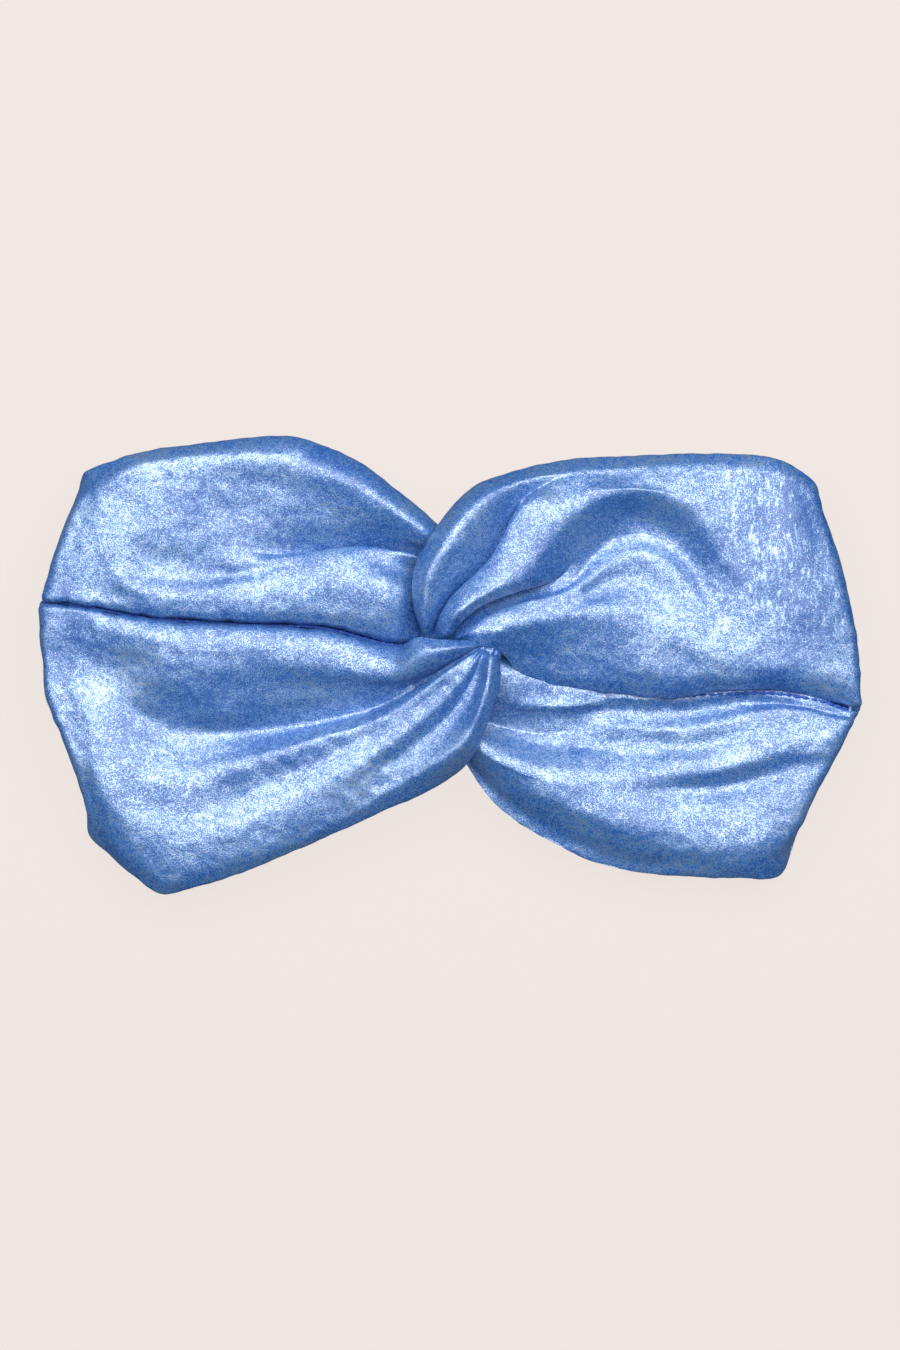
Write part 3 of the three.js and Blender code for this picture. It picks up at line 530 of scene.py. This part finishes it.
rightLowerLeg = {
    "hiddenEdge": (1, [(114.3, -13.4, 9), (113, -13, 10.8), (109, -11.7, 12.2), (102, -7.8, 13.6),
        (90, -5.3, 14.1), (75, -4.8, 14.1), (60, -4.8, 14.1), (40, -2.8, 14.1), (25, 1.2, 14.3),
        (12, 4.7, 14.8), (4, 4.7, 15.3)]),
    "smallFold": (1, [(114.2, -13.8, 9), (113.45, -13.5, 12.1), (109, -12.3, 13.5), (102, -10.2, 14.7),
        (92, -8.4, 15), (80, -7.9, 15.2), (70, -8.7, 15.4), (60, -9.4, 15.7), (50, -8.6, 16.1),
        (40, -7.5, 16.7), (30, -6.3, 17.6), (22, -4.3, 18.7), (16, -1.8, 19.7), (11, -0.7, 20),
        (4, -1.5, 18)]),
    "smallFoldBelly": (1, [(114.1, -14, 9), (113.25, -13.8, 12.3), (108.5, -12.6, 13.9), (101, -10.6, 15),
        (91, -8.9, 15), (80, -8.5, 15), (71, -9.5, 15.2), (63, -10.4, 15.4), (55, -9.9, 15.8),
        (47, -9.4, 16.3), (38, -9, 16.8), (29, -8.8, 17.5), (21, -7.9, 18.5), (14, -6.2, 19.5),
        (9, -5, 19.5), (4, -5, 18)]),
    "smallFoldEdge": (0.7, [(113.9, -14.3, 9), (113.05, -14.1, 12.4), (108, -13, 14), (100, -11, 15),
        (90, -9.3, 14.8), (80, -9.1, 14.7), (73, -10, 14.7), (66, -11.2, 14.9), (61, -11.5, 15),
        (56, -11, 15.2), (50, -10.5, 15.5), (43, -10.9, 15.9), (36, -11.7, 16.9), (28, -12.1, 17.5),
        (20, -12, 17.8), (12, -10.8, 17.8), (4, -9.5, 16.5)]),
    "wedge": (1, [(113.6, -14.8, 9), (112.75, -14.6, 12.5), (107.5, -13.5, 14.1), (99, -11.7, 14.9),
        (90, -10.7, 14.4), (80, -10.9, 14.2), (72, -11.9, 14.2), (65, -13, 14.4), (58, -13.3, 14.6),
        (50, -12.6, 14.6), (42, -12.4, 15), (34, -12.9, 15.3), (25, -13.3, 15.5), (15, -12.5, 15.5),
        (5, -11.2, 15.2)]),
    "rustRidge": ((1, 0.2), [(113, -16, 9), (112.05, -15.9, 15), (106.5, -14.5, 16.2), (98, -12.6, 16.9),
        (90, -12.5, 16.7), (82, -14.2, 16.2), (75, -16.3, 16.5), (67, -17.8, 16.6), (58, -18.2, 16.5),
        (50, -17.8, 16.2), (44, -17.2, 15.8), (38, -17.6, 14.6), (32, -18.6, 13.7), (24, -19.4, 13.4),
        (15, -17.8, 13.4), (6, -15, 13.6)]),
    "thinSlope": (1, [(111.6, -18.7, 9), (110.65, -18.6, 15.7), (105, -17.6, 17.4), (97, -16.5, 17.7),
        (89, -17.8, 17.2), (80, -20.7, 16.4), (70, -22.8, 16.1), (60, -23.6, 15.9), (50, -23.6, 15.8),
        (40, -23, 15.4), (31, -22.4, 15), (22, -21.8, 15), (14, -19.6, 15), (5, -16.2, 15)]),
    "ridgeTwo": (1, [(110, -22, 9), (109.05, -21.9, 16.1), (103.5, -20.6, 18.1), (96, -20, 18.7),
        (88, -22, 18.3), (80, -24.6, 18), (70, -26.7, 17.9), (60, -27.8, 17.8), (50, -28.2, 18),
        (40, -27.8, 18.4), (30, -26.8, 18.6), (20, -25, 19), (12, -22, 19), (5, -18.7, 18.4)]),
    "ridgeTwoEnd": (1, [(108.7, -24.5, 9), (107.75, -24.5, 16.1), (102.3, -23.8, 18), (95, -23.7, 18.7),
        (87, -25.8, 18.6), (79, -28, 18.6), (70, -29.6, 18.6), (60, -30.6, 18.6), (50, -31.3, 19.2),
        (40, -31, 20), (30, -30, 20.6), (20, -28, 20.9), (12, -24.7, 20.7), (5, -20.8, 19.3)]),
    "bandValley": (1, [(107, -27.5, 9), (106.05, -27.6, 15.7), (101, -28, 17.1), (94, -29.7, 16.8),
        (86, -32.2, 16.2), (78, -34, 16.2), (69, -34.8, 16.6), (60, -34.9, 17.6), (50, -34.9, 19.2),
        (40, -34.3, 20.4), (30, -33.2, 20.9), (20.5, -31, 21.1), (12.5, -27.4, 20.8), (5, -22.7, 19.3)]),
    "bulge": (1, [(104.6, -32, 9), (103.65, -32.3, 16), (98.5, -33.5, 17.7), (92, -35.5, 18.2),
        (84, -37.8, 18.1), (76, -39.5, 18.4), (67, -40.3, 18.9), (57, -40, 19.4), (47, -38.9, 20),
        (37, -36.9, 20.5), (27.5, -34, 20.8), (19, -31, 20.8), (11.5, -27.6, 20.2), (4.5, -23.2, 18.6)]),
    "bulgeLow": (1, [(101.5, -38, 9), (100.55, -38.4, 16), (96, -40, 17.9), (90, -42.5, 18.7),
        (83, -44.5, 18.8), (74, -46, 19.3), (65, -46.3, 19.6), (55, -46.3, 20), (46, -44.3, 20.2),
        (37, -41.3, 20.1), (28.5, -38, 20), (20.5, -34.6, 19.8), (13, -30.6, 19), (5, -25.3, 17.6)]),
    "underBulge": (1, [(98.5, -44, 9), (97.65, -44.5, 15.7), (93.5, -47, 17.6), (88, -49.3, 18.5),
        (81, -50.7, 18.7), (72, -51.3, 19), (63, -51.3, 18.7), (54, -51.4, 18.2), (45, -49.4, 17.8),
        (36, -46.2, 17.4), (28, -42.6, 17.2), (20, -38.6, 17), (13, -33.9, 16.6), (5.5, -27, 15.6)]),
    "rimShoulder": (1, [(95.3, -51.5, 9), (94.1, -52, 12.6), (91, -53.8, 15), (86, -55, 16.6),
        (78, -55.8, 17.1), (69, -56, 16.6), (60, -56, 15.5), (51, -55.3, 14.8), (42, -52.8, 14.5),
        (33.5, -49, 14.4), (25, -44.6, 14.4), (17.5, -39.8, 14.4), (11.5, -34.7, 14.3), (5.5, -28, 14)]),
    "rimEdge": (1, [(93, -57.8, 9), (91.3, -59.5, 10.5), (86, -60.2, 12.5), (78, -60, 13.5),
        (70, -59.6, 13.7), (60, -59.1, 13.2), (52, -58.5, 13), (45, -57, 12.9), (40, -55.5, 12.9),
        (30, -51, 12.9), (20, -45.5, 12.9), (14, -41, 12.9), (10, -37, 12.9), (7, -33, 12.9),
        (4.5, -28.5, 13), (2, -25, 13.2)]),
    "rimUnder": (1, [(89.5, -55, 9.6), (86, -55.8, 11.5), (78, -56, 12.5), (65, -54.5, 12.2),
        (50, -52, 12.2), (35, -47, 12.2), (22, -40.5, 12.2), (12, -33, 12.2), (4, -24, 12.4)]),
    "seamUnder": (1, [(111, -16, 9.8), (106, -15, 11.5), (97, -12.5, 12.6), (85, -10.5, 12.6),
        (70, -10, 12.6), (50, -9, 12.6), (30, -5, 12.6), (15, -1.5, 12.6), (5, 0, 12.6)]),
}


# the sewn edge between the two legs of a loop: wing, side, line
seams = {
    "left": ("left_wing", -1, [(-115.9, 17.5, 10), (-110, 17.2, 13.8), (-104, 16.5, 16.2),
        (-90, 13.8, 17.2), (-70, 12, 17.6), (-50, 11, 17.6), (-40, 10.8, 17.6), (-33, 9.7, 17.6),
        (-25, 7.5, 17.6), (-17, 5.7, 17), (-10, 5.5, 15)]),
    "right": ("right_wing", 1, [(112.6, -12.8, 11), (109, -11.8, 12.8), (102, -9.9, 14.3), (90, -8, 15),
        (75, -8.2, 15), (60, -8.6, 15), (40, -7, 15), (28, -4, 15), (18, -1, 15), (8, 2, 15)]),
}


def legGrid(guides):
    longest = max(np.linalg.norm(np.diff(np.array(line), axis=0), axis=1).sum()
                  for _, line in guides.values())
    shares = np.linspace(0, 1, int(longest / gridStep))
    rows = np.stack([evenSpline(line, shares) for _, line in guides.values()])
    # a pair of tightnesses is for the side fold's end and the knot's end
    ends = np.array([np.broadcast_to(tight, 2) for tight, _ in guides.values()])
    towardsKnot = np.clip((shares - 0.45) / 0.2, 0, 1)
    return acrossGuides(rows, gridStep, ends[:, :1] + (ends[:, 1:] - ends[:, :1]) * towardsKnot)


def makeLeg(name, guides, seed):
    grid = legGrid(guides)
    normal = gridNormals(grid)
    x, y = grid[..., 0], grid[..., 1]
    lumps = 0.3 * softNoise(x, y, 9, seed) + 0.14 * softNoise(x + y, y - x, 4.2, seed + 1)
    crinkle = 0.07 * softNoise(x + 0.6 * y, y - 0.4 * x, 2.1, seed + 2)
    # small puckers slant away from the sewn edge and fade over a few mm
    seamLine = np.array(sorted(seams[name.split("_")[0]][2]))
    away = np.abs(y - np.interp(x, seamLine[:, 0], seamLine[:, 1]))
    puckers = 0.34 * softNoise(x + 0.7 * away, 0.2 * y, 2.7, seed + 3) * np.exp(-away / 2.4)
    grid = grid + normal * (lumps + crinkle + puckers)[..., None]
    return gridMesh(name, grid, satin)


legs = {
    "left_upper_leg": (leftUpperLeg, "left_wing", -1),
    "left_lower_leg": (leftLowerLeg, "left_wing", -1),
    "right_upper_leg": (rightUpperLeg, "right_wing", 1),
    "right_lower_leg": (rightLowerLeg, "right_wing", 1),
}
hingeX, bendReach = 32 * mm, 20 * mm
for seed, (node, (guides, wing, side)) in enumerate(legs.items()):
    leg = makeLeg(node.replace("_leg", "_satin"), guides, 10 * seed)
    side * (hingeX + bendReach)
    side * (hingeX - bendReach)
    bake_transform(leg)
    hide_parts(node)
print("legs made")

# the turns of the two loops, inside the knot
# (x, y, z, width, thickness) along each turn

loopTurns = {
    "left_loop_turn": [(-13, 20, 15.2, 13, 4), (-9, 19, 15.4, 13, 4.5), (-3, 16.5, 16, 13, 6),
        (4, 12.5, 17, 12, 7), (9, 7, 19.5, 9, 7), (9, 3.5, 22.5, 7, 5), (6.5, 2.5, 24, 6, 3)],
    "right_loop_turn": [(-6.5, 9, 20, 4, 3), (-7, 5, 19.5, 6, 5), (-6, 0, 18, 8, 6),
        (-2, -5.5, 16.5, 10, 6), (2, -9, 15.4, 11, 4), (5, -12, 14.8, 12, 3), (8, -15, 14.5, 12, 2)],
}


def ovalTube(stations, pleats, depth, seed):
    # an oval carried along a path: the radius swings with the pleats round the section
    fine = np.array(stations, float)
    length = np.linalg.norm(np.diff(fine[:, :3], axis=0), axis=1).sum()
    path = evenSpline(stations, np.linspace(0, 1, max(12, int(length / gridStep))))
    centre, width, thickness = path[:, :3], path[:, 3:4], path[:, 4:5]
    ahead = np.gradient(centre, axis=0)
    ahead /= np.linalg.norm(ahead, axis=1, keepdims=True)
    side = np.stack([-ahead[:, 1], ahead[:, 0], 0 * ahead[:, 0]], axis=1)
    side /= np.linalg.norm(side, axis=1, keepdims=True)
    up = np.cross(ahead, side)
    angle = np.linspace(0, 2 * np.pi, int(2.4 * width.max() / gridStep), endpoint=False)[:, None, None]
    along = np.linspace(0, 1, len(path))[None, :, None]
    flat = lambda wave: np.sign(wave) * np.abs(wave) ** 0.8
    swell = 1 + depth * np.cos(pleats * angle + 2.5 * np.sin(3 * along + seed)) * np.abs(np.sin(angle))
    return (centre + side * flat(np.cos(angle)) * width / 2
            + up * flat(np.sin(angle)) * swell * thickness / 2)


for seed, (node, stations) in enumerate(loopTurns.items()):
    turn = gridMesh(node + "_satin", ovalTube(stations, 9, 0.12, seed), satin)
    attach(turn, "knot")
    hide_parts(node)

# the sewn edge between the two legs of each loop


def seamTube(line):
    # a thread-thick tube that swells at every stitch
    length = np.linalg.norm(np.diff(np.array(line), axis=0), axis=1).sum()
    path = evenSpline(line, np.linspace(0, 1, int(length / 0.3)))
    ahead = np.gradient(path, axis=0)
    ahead /= np.linalg.norm(ahead, axis=1, keepdims=True)
    side = np.cross(ahead, (0, 0, 1.0))
    side /= np.linalg.norm(side, axis=1, keepdims=True)
    up = np.cross(side, ahead)
    radius = 0.42 + 0.12 * np.cos(np.arange(len(path)) * 0.3 / 2.4 * 2 * np.pi)[:, None]
    angle = np.linspace(0, 2 * np.pi, 10, endpoint=False)[:, None, None]
    return path + radius * (side * np.cos(angle) + up * 1.4 * np.sin(angle))


for name, (wing, side, line) in seams.items():
    seam = gridMesh(name + "_seam_stitches", seamTube(line), threadLook)
    side * (hingeX + bendReach)
    side * (hingeX - bendReach)
    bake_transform(seam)
    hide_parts(name + "_front_seam", name + "_knot_seam")
print("knot and seams made")

# the side turns: cloth from under the legs' ends round to the back
# The side, and the outline at the side fold from the upper rim to the lower one

sideOutlines = {
    "left": (-1, [(-103, 52.5), (-105.3, 49.5), (-108, 43), (-110.6, 36.5), (-113.3, 29), (-115.3, 22),
        (-116, 17.5), (-116.1, 10), (-115.7, 0), (-114.8, -6.5), (-113.3, -12.5), (-111.3, -18),
        (-108.6, -24.5), (-106, -31), (-103.9, -37.5), (-102.7, -43), (-101.8, -48)]),
    "right": (1, [(101.7, 50.5), (103, 47), (104.6, 43), (107.5, 34), (110.2, 24), (112.4, 13.5),
        (113.8, 6.5), (114.7, -2), (114.6, -9), (114, -14), (111.4, -19), (109, -23.5), (105.3, -30.5),
        (101.4, -38.5), (97.3, -46.5), (94.3, -53.5), (93, -57)]),
}


def sideTurn(side, outline):
    # s runs along the outline, t from inside the leg's hem, round the fold's widest line and in
    # underneath, drawn together towards the strap; the way back is the same, one cloth thickness inside
    height = np.array([point[1] for point in outline], float)
    reach = np.abs([point[0] for point in outline])
    count = int(115 / gridStep)
    s = np.linspace(0, 1, count)[None, :]
    walk = np.linspace(0, 1, len(outline))
    y0 = np.interp(s, walk, height)
    x0 = np.interp(s, walk, reach)
    middle = (height[0] + height[-1]) / 2
    turn = np.linspace(-0.42, 1, int(30 / gridStep))[:, None]
    angle = turn * np.pi / 2
    gather = np.clip(turn, 0, 1)
    inward = np.where(turn < 0, 6.3 * (1 - np.cos(angle)), (x0 - 101.5) * (1 - np.cos(angle)))
    x = x0 - 0.9 - inward
    # the outer corners stay up under the leg, so that the free edge slants down to the strap
    corner = np.clip(np.minimum(s, 1 - s) / 0.14, 0, 1)
    drop = np.where(turn < 0, 6.8, 6.9 * corner ** 2 * (3 - 2 * corner))
    z = 9 - drop * np.sin(angle)
    y = np.where(turn < 0, y0 * (1 - 0.012 * (1 - np.cos(angle))),
                 y0 + (y0 * 0.47 - y0) * (1 - np.cos(angle)) ** 0.9)
    pleat = np.sin(2 * np.pi * (9.5 * s + 0.35 * np.sin(7 * s))) * gather * (1.15 - 0.35 * gather)
    z = z + 0.55 * pleat
    x = x + 0.35 * pleat * (1 - gather)
    outer = np.stack([side * x, y, z], axis=2)
    normal = np.cross(np.gradient(outer, axis=0), np.gradient(outer, axis=1))
    normal /= np.maximum(np.linalg.norm(normal, axis=2, keepdims=True), 1e-9)
    if (normal[..., 0] * side).mean() < 0:
        normal = -normal
    edge = np.minimum(1, np.minimum(s, 1 - s) / 0.04)[..., None]
    inner = outer - normal * (0.15 + 0.75 * edge)
    return np.concatenate([outer, inner[::-1]])


for name, (side, outline) in sideOutlines.items():
    turn = gridMesh(name + "_side_turn", sideTurn(side, outline), backSatin)
    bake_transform(turn)

# gathered back straps, ruched casing and its elastic


def strapTube(side, seed):
    # flat oval from the side stitching to a thin tongue inside the casing's mouth; gathers run
    # lengthwise, deepest near the stitched ends
    x = np.linspace(104.3, 27.5, int(77 / gridStep))[None, :]
    wide = np.interp(x, [27.5, 31, 34, 104.3], [17.5, 17.5, 19.8, 25.6])
    thick = np.interp(x, [27.5, 32, 34.5, 38, 102, 104.3], [0.9, 0.9, 1.9, 2.3, 2.3, 1.7])
    middle = np.interp(x, [27.5, 32, 35], [3.5, 3.5, 2.6])
    angle = np.linspace(0, 2 * np.pi, int(110 / gridStep), endpoint=False)[:, None]
    across = np.sign(np.cos(angle)) * np.abs(np.cos(angle)) ** 0.75
    up = np.sign(np.sin(angle)) * np.abs(np.sin(angle)) ** 0.6
    y = across * wide
    near = np.exp(-(104 - x) / 22) + np.exp(-(x - 32) / 16)
    waves = np.sin(across * 19 + 1.8 * softNoise(x + 0 * y, y, 26, seed)) * (0.22 + 0.3 * near)
    waves = waves + 0.3 * softNoise(x * 0.35 + 0 * y, y, 3.2, seed + 1)
    z = middle + up * thick * (1 + 0.28 * waves)
    return np.stack([side * x + 0 * y, y, z], axis=2)


for seed, (name, side) in enumerate({"left": -1, "right": 1}.items()):
    strap = gridMesh(name + "_back_satin", strapTube(side, 60 + 5 * seed), backSatin)
    if name == "left":
        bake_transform(strap)
    else:
        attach(strap, "right_back")
    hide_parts(name + "_back_strap")


def casingTube():
    # flat oval ruched across: folds 3.4 mm apart that wander and die out, as over a drawn-in elastic
    x = np.linspace(-31.8, 31.8, int(64 / min(gridStep, 0.7)))[None, :]
    angle = np.linspace(0, 2 * np.pi, int(110 / gridStep), endpoint=False)[:, None]
    y = np.sign(np.cos(angle)) * np.abs(np.cos(angle)) ** 0.7 * 19.7
    up = np.sign(np.sin(angle)) * np.abs(np.sin(angle)) ** 0.5
    wander = 1.1 * softNoise(x + 0 * y, y, 9, 71)
    folds = np.cos((x + wander) * 2 * np.pi / 3.4) * (0.75 + 0.5 * softNoise(x + 0 * y, y, 6, 72))
    mouth = np.clip((31.8 - np.abs(x)) / 2.5, 0, 1)
    z = 2.5 + up * (2.0 + 0.38 * folds * (0.4 + 0.6 * mouth))
    y = y * (1 + 0.012 * folds)
    return np.stack([x + 0 * y, y, z], axis=2)


casing = gridMesh("casing_satin", casingTube(), backSatin)
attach(casing, "back_centre")
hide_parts("elastic_casing")


def elasticStrip():
    # woven strip: ribs across it every 1.6 mm
    x = np.linspace(-31, 31, 240)[None, :]
    angle = np.linspace(0, 2 * np.pi, 72, endpoint=False)[:, None]
    y = np.sign(np.cos(angle)) * np.abs(np.cos(angle)) ** 0.3 * 12.5
    up = np.sign(np.sin(angle)) * np.abs(np.sin(angle)) ** 0.3
    z = 2.5 + up * (0.54 + 0.05 * np.cos(x * 2 * np.pi / 1.6))
    return np.stack([x + 0 * y, y + 0 * x, z], axis=2)


elastic = gridMesh("elastic_strip", elasticStrip(), elasticLook)
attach(elastic, "back_centre")
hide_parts("elastic_band")


def stitchMesh(name, x, length, top):
    # a row of short rounded stitches along y, every 3 mm, each a closed spindle
    centres = np.arange(-length / 2 + 1.2, length / 2 - 1, 3)
    share = np.linspace(0, 1, 9)
    radius = 0.42 * np.sqrt(np.clip(1 - (2 * share - 1) ** 4, 0.03, 1))
    angle = np.linspace(0, 2 * np.pi, 8, endpoint=False)
    vertices, faces = [], []
    for centre in centres:
        base = len(vertices)
        for k, r in zip(share, radius):
            arch = top + 0.25 * np.sin(np.pi * k) - 0.25
            for a in angle:
                vertices.append((x + r * math.cos(a), centre + 2.2 * (k - 0.5), arch + r * math.sin(a)))
        for i in range(8):
            for j in range(8):
                faces.append((base + 8 * i + j, base + 8 * i + (j + 1) % 8,
                              base + 8 * i + 8 + (j + 1) % 8, base + 8 * i + 8 + j))
        faces.append(tuple(base + 7 - j for j in range(8)))
        faces.append(tuple(base + 64 + j for j in range(8)))
    mesh = bpy.data.meshes.new(name)
    mesh.from_pydata([(px * mm, py * mm, pz * mm) for px, py, pz in vertices], [],
                     [face[::-1] for face in faces])
    mesh.shade_smooth()
    mesh.materials.append(threadLook)
    row = bpy.data.objects.new(name, mesh)
    scene.collection.objects.link(row)
    return row


for side, name in ((-1, "left"), (1, "right")):
    row = stitchMesh(name + "_side_stitches", side * 102.75, 42, 5.1)
    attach(row, name + "_back")
    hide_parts(name + "_side_stitching")
    row = stitchMesh(name + "_casing_stitches", side * 26, 32, 4.7)
    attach(row, "back_centre")
    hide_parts(name + "_casing_stitching")
print("back made")

# floor, light and camera

def makeFloor():
    # even cream studio floor: mostly its own glow, so that it takes only a faint shadow
    shader = Shader(bpy.data.materials.new("paleFloor"))
    material = shader.finish(Base_Color=colour(60, 57, 56), Roughness=1.0, Specular_IOR_Level=0.0,
                             Emission_Color=colour(241, 232, 227), Emission_Strength=0.925)
    mesh = bpy.data.meshes.new("floor")
    reach = 3.0
    corners = [(-reach, -reach, 0), (reach, -reach, 0), (reach, reach, 0), (-reach, reach, 0)]
    mesh.from_pydata(corners, [], [(0, 1, 2, 3)])
    mesh.materials.append(material)
    floor = bpy.data.objects.new("floor", mesh)
    scene.collection.objects.link(floor)
    floor.visible_glossy = False   # keeps its cream out of the cloth's highlights
    floor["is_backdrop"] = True


def areaLight(name, place, size, energy):
    light = bpy.data.lights.new(name, "AREA")
    light.shape, light.size, light.size_y = "RECTANGLE", size[0], size[1]
    light.energy = energy
    lamp = bpy.data.objects.new(name, light)
    lamp.location = place
    lamp.rotation_euler = lamp.location.to_track_quat("Z", "Y").to_euler()
    scene.collection.objects.link(lamp)


makeFloor()
areaLight("softOverhead", (0, 0.46, 1.2), (2.2, 1.2), 37)
studio = Shader(bpy.data.worlds.new("studio"))
# a faint blue fill for the folds; the camera sees the pale backdrop instead
blueFill = studio.node("ShaderNodeBackground", Color=(0.35, 0.64, 1.0, 1), Strength=0.13)
backdrop = studio.node("ShaderNodeBackground", Color=colour(241, 232, 227))
cameraRay = studio.node("ShaderNodeLightPath")
eitherSky = studio.node("ShaderNodeMixShader", _0=cameraRay, _1=blueFill, _2=backdrop)
studio.node("ShaderNodeOutputWorld", Surface=eitherSky)
scene.world = studio.owner

viewHeight = 379.6 * mm
viewCentre = (-0.84 * mm, -2.8 * mm, 15 * mm)
cameraHeight = 2.0
camera = bpy.data.cameras.new("above")
camera.sensor_width = 36
camera.lens = 36 * cameraHeight / viewHeight
cameraObject = bpy.data.objects.new("above", camera)
cameraObject.location = (viewCentre[0], viewCentre[1], viewCentre[2] + cameraHeight)
scene.collection.objects.link(cameraObject)
scene.camera = cameraObject

visualBox = [list(corner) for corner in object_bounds()]
